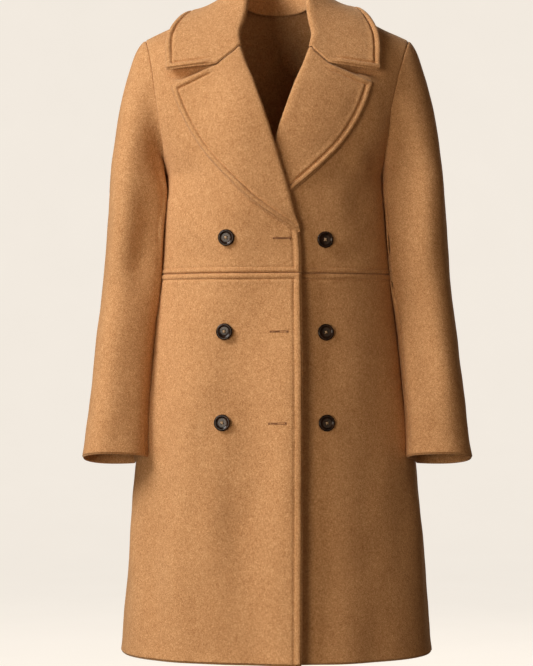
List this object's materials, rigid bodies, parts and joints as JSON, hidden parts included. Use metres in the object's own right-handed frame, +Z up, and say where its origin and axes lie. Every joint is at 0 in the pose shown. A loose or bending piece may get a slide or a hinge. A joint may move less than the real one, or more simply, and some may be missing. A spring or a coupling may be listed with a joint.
{
  "type": "double-breasted wool coat",
  "caption": "Knee-length double-breasted wool coat as worn: waist seam, wide notched lapels and collar, two-piece sleeves, four-hole buttons, hollow and open at neck, cuffs and hem.",
  "frame": {"origin": "midway between the two neck points, where the shoulder seams meet the neck and the coat rests on the shoulders", "axes": "+Z up, the front faces -Y, the wearer's left is +X"},
  "size_m": [0.593, 0.3344, 1.0555],
  "materials": {
    "coat_cloth": "heavy napped wool, camel with fine lighter and darker fleck",
    "button": "dark brown, glossy, four holes"
  },
  "bodies": {
    "root": {"right_front_bodice": "coat_cloth", "left_front_bodice": "coat_cloth", "back_bodice": "coat_cloth", "right_front_skirt": "coat_cloth", "left_front_skirt": "coat_cloth", "back_skirt": "coat_cloth", "right_top_sleeve": "coat_cloth", "right_under_sleeve": "coat_cloth", "left_top_sleeve": "coat_cloth", "left_under_sleeve": "coat_cloth", "collar": "coat_cloth", "right_facing": "coat_cloth", "left_facing": "coat_cloth", "right_button_1": "button", "right_button_2": "button", "right_button_3": "button", "left_button_1": "button", "left_button_2": "button", "left_button_3": "button"}
  },
  "joints": []
}
